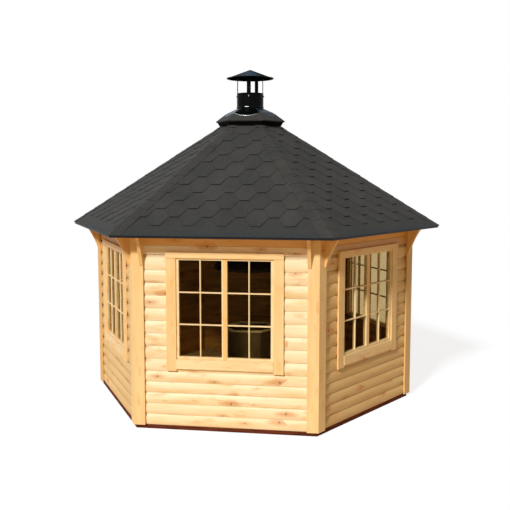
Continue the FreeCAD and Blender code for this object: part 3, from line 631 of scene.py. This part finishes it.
granules = slate("slate_granules_on_bitumen", "#323332", "#3B3B3A")
blue_felt = slate("blue_slate_granules_on_starter_felt", "#313231", "#353635", edge="#2B3135")
dark_granules = slate("dark_slate_granules", "#2E2F2E", "#373737")
worn_granules = slate("worn_slate_granules", "#343534", "#3E3E3D")
felt_edge, tree = new_finish("cut_bitumen_edge")
surface(tree, "#101010", 0.85)
slope_length = (eave - curb_face) / math.cos(pitch)
chance = random.Random(11)


def on_roof(x, up, lift):
    """A spot on the front panel: to the side, up the slope from the eave, and off the boards."""
    out = eave - up * math.cos(pitch) + lift * math.sin(pitch)
    return Vector((x, -out, eave_top + up * math.sin(pitch) + lift * math.cos(pitch)))


def felt_sheet(shape, outline, low, lift, finish=0):
    """A sheet of felt over an outline (side, slope), highest at its lower edge.

    That edge curls up a little, and its cut face shows black bitumen.
    """
    tops, feet = [], []
    for x, up in outline:
        height = FELT / 2 + lift * (1 - (up - low) / (2 * EXPOSURE + HEAD_LAP))
        curl = CURL if up == low and low > 0 else 0
        tops.append(on_roof(x, up, height + curl))
        feet.append(on_roof(x, up, height - FELT))
    before = len(shape.faces)
    solid_between(shape, feet, tops, finish)
    shape.faces.ensure_lookup_table()
    shape.faces[before + 2].material_index = 2


def trim(shape, spot, outward):
    """Cut a mesh along a plane and close the cut."""
    everything = shape.verts[:] + shape.edges[:] + shape.faces[:]
    cut = bmesh.ops.bisect_plane(shape, geom=everything, plane_co=spot, plane_no=outward, clear_outer=True)
    edges = [item for item in cut["geom_cut"] if isinstance(item, bmesh.types.BMEdge)]
    bmesh.ops.holes_fill(shape, edges=edges)


for index, wall in enumerate(WALLS):
    courses = bmesh.new()
    reach = eave * TAN_HALF + EAVE_LAP
    head = FIRST_COURSE + EXPOSURE
    starter = [(-reach, -EAVE_LAP), (reach, -EAVE_LAP), (reach, head), (-reach, head)]
    felt_sheet(courses, starter, -EAVE_LAP, FELT + 0.001, 1)
    course, low = 1, FIRST_COURSE
    while low < slope_length:
        offset = TAB_PERIOD / 2 if course % 2 == 0 else 0
        count = math.ceil(reach / TAB_PERIOD) + 1
        for step in range(-count, count + 1):
            middle = step * TAB_PERIOD + offset
            half = TAB_PERIOD / 2 - 0.0005
            top = 2 * EXPOSURE + HEAD_LAP
            right_side = [(TAB_FLAT / 2, 0), (TAB_SHOULDER, EXPOSURE), (half, EXPOSURE), (half, top)]
            left_side = [(-x, up) for x, up in reversed(right_side)]
            tab = [(middle + x, low + up) for x, up in left_side[-1:] + right_side + left_side[:-1]]
            batch = chance.choice((0, 0, 3, 4))
            felt_sheet(courses, tab, low, LIFT + chance.uniform(-LIFT_SPREAD, LIFT_SPREAD), batch)
        low += EXPOSURE
        course += 1
    for sign in (-1, 1):
        outward = Vector((sign * math.cos(HALF_TURN), math.sin(HALF_TURN), 0))
        trim(courses, Vector((0, 0, 0)), outward)
    trim(courses, Vector((0, -curb_face, 0)), Vector((0, 1, 0)))
    bmesh.ops.rotate(courses, verts=courses.verts, matrix=Matrix.Rotation(math.radians(index * TURN), 3, "Z"))
    make_piece("shingles_" + wall, courses, "bitumen_shingles", granules, blue_felt, felt_edge, dark_granules,
               worn_granules)

# Hip caps: pieces of the same felt, bent over each hip and lapped from the eave upwards.
# Each is nailed under the next, so that only its lower edge shows.
CAP_WIDTH = 0.105
CAP_EXPOSURE = 0.16
CAP_LENGTH = 0.30
CAP_LOW = 0.006
CAP_LIFT = 0.006
caps = bmesh.new()
hip_foot = Vector((eave / math.cos(HALF_TURN), 0, eave_top))
hip_head = Vector((curb_face / math.cos(HALF_TURN), 0, roof_top))
hip_way = (hip_head - hip_foot).normalized()
hip_length = (hip_head - hip_foot).length

# For the two panels that meet on the X axis: the way across the panel and its normal
wings = []
for side in (-1, 1):
    angle = side * HALF_TURN
    normal = Vector((math.sin(pitch) * math.cos(angle), math.sin(pitch) * math.sin(angle), math.cos(pitch)))
    across = normal.cross(hip_way).normalized()
    wings.append((across if across.y * side > 0 else -across, normal))
ridge = (wings[0][1] + wings[1][1]).normalized()
ridge_share = 1 / ridge.dot(wings[0][1])
steps = math.ceil(hip_length / CAP_EXPOSURE)
for step in range(steps):
    loops = []
    for along, height in ((step * CAP_EXPOSURE - EAVE_LAP, CAP_LOW + CAP_LIFT),
                          (step * CAP_EXPOSURE - EAVE_LAP + CAP_LENGTH, CAP_LOW)):
        along = min(along, hip_length)
        base = hip_foot + hip_way * along
        loop = []
        for level in (height, height - FELT):
            row = [base + wings[0][0] * CAP_WIDTH + wings[0][1] * level,
                   base + ridge * level * ridge_share,
                   base + wings[1][0] * CAP_WIDTH + wings[1][1] * level]
            loop += row if level == height else row[::-1]
        loops.append(loop)
    solid_between(caps, *loops)
for side in (-1, 1):
    outward = Vector((math.cos(side * HALF_TURN), math.sin(side * HALF_TURN), 0))
    trim(caps, outward * (eave + EAVE_LAP), outward)
    trim(caps, outward * curb_face, -outward)
one_hip = caps.copy()
one_mesh = bpy.data.meshes.new("one_hip")
one_hip.to_mesh(one_mesh)
one_hip.free()
for turn in range(TURN, 360, TURN):
    one_mesh.transform(Matrix.Rotation(math.radians(TURN), 4, "Z"))
    caps.from_mesh(one_mesh)
bpy.data.meshes.remove(one_mesh)
make_piece("hip_caps", caps, "bitumen_shingles", granules)

# Curb and cupola: boards round the smoke opening, painted near black as the shade under the cupola's skirt, and a
# small six-sided roof over them.
# Sloping boards, with the same painted shade, close the gap from the curb's foot out to the skirt, which has the same
# felt as the roof.
# Painted shade: near-black boards under the skirt.
curb_painted_shade, tree = new_finish("curb_boards_painted_shade")
stretched = add(tree, "VectorMath", {0: in_wall_axes(tree), 1: (8, 8, 60)}, operation="MULTIPLY")
streaks = add(tree, "TexNoise", {"Vector": stretched, "Scale": 1})
colour = add(tree, "MixRGB", {0: streaks, 1: "#060504", 2: "#0E0B09"})
surface(tree, colour, 0.8, Specular_IOR_Level=0.03)
paint(curb_painted_shade, "roof_curb")
paint(granules, "cupola")
skirt_spots = [v.co for v in nodes["cupola"].data.vertices]
skirt_face = -min(spot.y for spot in skirt_spots)
skirt_edge = max(spot.z for spot in skirt_spots if spot.y < -skirt_face + 0.001)
skirt_foot = min(spot.z for spot in skirt_spots)
collar_spots = [v.co for v in nodes["storm_collar"].data.vertices]
collar_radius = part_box("storm_collar")[1].x
rim_spots = [spot for spot in collar_spots if Vector((spot.x, spot.y)).length > collar_radius - 0.001]
knee_high = max(spot.z for spot in rim_spots)
rim_low = min(spot.z for spot in rim_spots)
SKIRT_FELT = 0.004
SKIRT_LAP = 0.006
APRON = 0.012
apron = bmesh.new()
for index in range(len(WALLS)):
    section = [(curb_face + 0.001, roof_top + 0.001), (curb_face + 0.003, roof_top - 0.004),
               (skirt_face - APRON, skirt_foot - 0.001), (curb_face + 0.001, skirt_foot - 0.001)]
    mitred(apron, section, index * TURN)
make_piece("curb_apron", apron, "curb_boards", curb_painted_shade)
COLLAR_GAP = 0.003
ARC_STEPS = 16
knee_face = collar_radius * math.cos(HALF_TURN)
skirt_fall = (knee_high - skirt_edge) / (skirt_face - knee_face)


def on_cupola(angle, out, lift):
    """A spot on the cupola's front side: at an angle off its middle and at a distance from the wall plane."""
    return (out * math.tan(angle), -out, knee_high - (out - knee_face) * skirt_fall + lift)


skirt = bmesh.new()
for index in range(len(WALLS)):
    for step in range(ARC_STEPS):
        edges = []
        for k in (step, step + 1):
            angle = math.radians(-30 + 60 * k / ARC_STEPS)
            inner = (collar_radius + COLLAR_GAP) * math.cos(angle)
            outer = skirt_face + SKIRT_LAP
            edges.append([on_cupola(angle, inner, 0), on_cupola(angle, outer, 0),
                          on_cupola(angle, outer, SKIRT_FELT), on_cupola(angle, inner, SKIRT_FELT)])
        side_solid(skirt, *edges, index * TURN)
make_piece("cupola_felt", skirt, "bitumen_shingles", granules)

# Storm collar and stack: sheet steel under black stove enamel, which is glossy where it is clean.
# The collar is folded over the cupola's hips, and its cut edge is rolled and bare of enamel, dark but for a painted
# highlight along its front.
cap_low, cap_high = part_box("chimney_cap")


def enamel(name, sky_sheen=None, gloss=0.04):
    """Black stove enamel. Its second argument is a function that gives the share of blue-grey painted sky reflection
    at a place.
    """
    finish, tree = new_finish(name)
    dust = add(tree, "TexNoise", {"Vector": add(tree, "TexCoord").outputs["Object"], "Scale": 14, "Detail": 4})
    share = add(tree, "MapRange", {0: dust, 1: 0.4, 2: 0.7, 4: 0.5})
    colour = add(tree, "MixRGB", {0: share, 1: "#040505", 2: "#0D0F10"})
    if sky_sheen is not None:
        normal = add(tree, "SeparateXYZ", {0: add(tree, "NewGeometry").outputs["True Normal"]}).outputs
        share = add(tree, "MapRange", {0: dust, 1: 0.45, 2: 0.6})
        tint = add(tree, "MixRGB", {0: share, 1: "#46607A", 2: "#565C60"})
        colour = add(tree, "MixRGB", {0: sky_sheen(tree, normal), 1: colour, 2: tint})
    surface(tree, colour, 0.35, Specular_IOR_Level=gloss)
    return finish


def cap_sky_sheen(tree, normal):
    """Painted sky reflection: the half of the cap that looks up and to the front."""
    up = add(tree, "MapRange", {0: normal["Z"], 1: 0.3, 2: 0.6})
    front = add(tree, "Math", {0: normal["Y"], 1: -1.0}, operation="MULTIPLY")
    front = add(tree, "MapRange", {0: front, 1: 0.2, 2: 0.42})
    return add(tree, "Math", {0: up, 1: front}, operation="MULTIPLY")


def collar_sky_sheen(tree, normal):
    """Painted sky reflection: the collar's sides towards the left and, less, towards the right."""
    left = add(tree, "Math", {0: normal["X"], 1: -1.0}, operation="MULTIPLY")
    left = add(tree, "MapRange", {0: left, 1: 0.2, 2: 0.4, 4: 0.8})
    right = add(tree, "MapRange", {0: normal["X"], 1: 0.2, 2: 0.4, 4: 0.25})
    return add(tree, "Math", {0: left, 1: right}, operation="MAXIMUM")


black_enamel = enamel("black_stove_enamel")
paint(black_enamel, "chimney_stack", "cap_straps")
# Painted reflection: the blue-grey on the collar's flanks and the cap stands for the sky they mirror; the cap has no
# gloss of its own.
paint(enamel("collar_enamel_painted_sky_sheen", collar_sky_sheen), "storm_collar")
paint(enamel("cap_enamel_painted_sky_sheen", cap_sky_sheen, gloss=0.0), "chimney_cap")
# Painted highlight: the way between the sun and the camera, where the steel is painted bright.
HIGHLIGHT_TURN = math.radians(264)


def steel_with_painted_highlight(name, bright, wide):
    """Dark bare steel, with a painted highlight on one side, up to an angle from its middle."""
    finish, tree = new_finish(name)
    place = add(tree, "TexCoord").outputs["Object"]
    level = add(tree, "VectorMath", {0: place, 1: (1, 1, 0)}, operation="MULTIPLY")
    way = add(tree, "VectorMath", {0: level}, operation="NORMALIZE")
    middle = (math.cos(HIGHLIGHT_TURN), math.sin(HIGHLIGHT_TURN), 0)
    towards = add(tree, "VectorMath", {0: way, 1: middle}, operation="DOT_PRODUCT").outputs["Value"]
    dull, highlit = [math.cos(math.radians(wide * share)) for share in (1.2, 0.8)]
    share = add(tree, "MapRange", {0: towards, 1: dull, 2: highlit})
    surface(tree, add(tree, "MixRGB", {0: share, 1: "#1C1D1E", 2: bright}), 0.3, Metallic=1.0)
    return finish


def ring_bead(shape, radius, height_at, bead, count=96, sides=8):
    """A rolled edge: a thin round bead on a circle about the Z axis, whose height may change on its way."""
    loops = []
    for step in range(count):
        angle = 2 * math.pi * step / count
        outward = Vector((math.cos(angle), math.sin(angle), 0))
        middle = outward * radius + Vector((0, 0, height_at(angle)))
        loop = []
        for side in range(sides):
            turn = 2 * math.pi * side / sides
            off_middle = outward * bead * math.cos(turn) + Vector((0, 0, bead * math.sin(turn)))
            loop.append(shape.verts.new(middle + off_middle))
        loops.append(loop)
    for step in range(count):
        first, second = loops[step], loops[(step + 1) % count]
        for side in range(sides):
            after = (side + 1) % sides
            shape.faces.new((first[side], first[after], second[after], second[side])).smooth = True


def rim_height(angle):
    """Height of the collar's edge, which lies on the six slopes of the cupola."""
    off_middle = (math.degrees(angle) % TURN) - TURN / 2
    out = collar_radius * math.cos(math.radians(off_middle))
    rise = (knee_high - rim_low) / (collar_radius - knee_face)
    return knee_high - (out - knee_face) * rise + HEM_LIFT


HEM_LIFT = 0.003
HEM_BEAD = 0.004
hem = bmesh.new()
ring_bead(hem, collar_radius, rim_height, HEM_BEAD)
make_piece("collar_hem", hem, "black_sheet_steel", steel_with_painted_highlight("collar_hem_painted_highlight", "#B9BCBF", 28))

# Stack seam: the lower length of pipe is rolled over the upper one in a round bead.
# Bare steel, dulled dark all round, with a painted highlight in one spot at the front.
SEAM_BEAD = 0.007
seam_spots = [(Vector((v.co.x, v.co.y)).length, v.co.z) for v in nodes["chimney_stack"].data.vertices]
seam_radius, seam_height = max(seam_spots)
seam = bmesh.new()
ring_bead(seam, seam_radius - SEAM_BEAD / 2, lambda angle: seam_height, SEAM_BEAD)
make_piece("stack_seam", seam, "black_sheet_steel", steel_with_painted_highlight("stack_seam_painted_highlight", "#B4B8BC", 8))

# Strap bolts: domed heads of zinc-plated steel on the stack, one beside the foot of each strap.
# Weather has dulled the zinc, and the head at the front has a painted highlight.
BOLT_RADIUS = 0.010
BOLT_DROP = 0.036
BOLT_TURNS = (0, 69, 180, 273)
STRAP_SHEET = 0.003
stack_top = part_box("chimney_stack")[1].z
stack_radius = min(Vector((v.co.x, v.co.y)).length for v in nodes["chimney_stack"].data.vertices
                   if v.co.z > stack_top - 0.001) + STRAP_SHEET
bolts = bmesh.new()
for turn in BOLT_TURNS:
    angle = math.radians(turn)
    spot = Vector((math.cos(angle), math.sin(angle), 0)) * stack_radius
    head = bmesh.ops.create_uvsphere(bolts, u_segments=16, v_segments=10, radius=BOLT_RADIUS)
    bmesh.ops.translate(bolts, verts=head["verts"], vec=spot + Vector((0, 0, stack_top - BOLT_DROP)))
for face in bolts.faces:
    face.smooth = True
make_piece("strap_bolts", bolts, "black_sheet_steel", steel_with_painted_highlight("zinc_plated_bolts_painted_highlight", "#85888B", 24))

# Rain cap: a spun cone of enamelled sheet with a rolled rim, carried by four strips of the same steel.
# The rim is a bead of the sheet itself, under the same enamel.
RIM_BEAD = 0.005
rolled = bmesh.new()
ring_bead(rolled, cap_high.x - 0.003, lambda angle: cap_low.z + 0.002, RIM_BEAD)
make_piece("cap_rim", rolled, "black_sheet_steel", black_enamel)

# Smoke hood and pipe: sheet steel, folded and seamed, under black heat-proof paint.
# Matt, and a little sooty in clouds.
sooty, tree = new_finish("black_heat_paint")
soot = add(tree, "TexNoise", {"Vector": add(tree, "TexCoord").outputs["Object"], "Scale": 6, "Detail": 5})
surface(tree, add(tree, "MixRGB", {0: soot, 1: "#0C0B0A", 2: "#24201C"}), 0.7)
paint(sooty, "smoke_hood")

# Grill: a body of folded sheet steel under olive heat-proof paint, that stands in the middle of the floor.
# The top of its rim is painted as a pale ring: a painted highlight where light catches the rim.
RIM_HIGHLIGHT_TOP = 0.014
RIM_HIGHLIGHT_FOOT = 0.02
grill_paint, tree = new_finish("olive_heat_paint")
place = add(tree, "TexCoord").outputs["Object"]
height = add(tree, "SeparateXYZ", {0: place}).outputs["Z"]
grill_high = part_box("grill")[1].z
rim_highlight = add(tree, "MapRange", {0: height, 1: grill_high - RIM_HIGHLIGHT_FOOT, 2: grill_high - RIM_HIGHLIGHT_TOP})
mottle = add(tree, "TexNoise", {"Vector": place, "Scale": 9, "Detail": 4})
colour = add(tree, "MixRGB", {0: mottle, 1: "#544C3A", 2: "#686050"})
surface(tree, add(tree, "MixRGB", {0: rim_highlight, 1: colour, 2: "#D8D6C4"}), 0.55)
paint(grill_paint, "grill")

# Bench: planed softwood slats, screwed on two trestles, unfinished, and painted paler than the other wood: painted
# light for the sun that falls on it through the windows.
# The slats run along the wall on the left, and so does their grain.
SLAT_TURN = 60
bench_wood_painted_sunlit = spruce("bench_slat_spruce", SLAT_TURN, board=0.4, pale="#FBEFD4", honey="#F0D6A8", knots=0.2)
paint(bench_wood_painted_sunlit, "bench_seat", "bench_trestles")
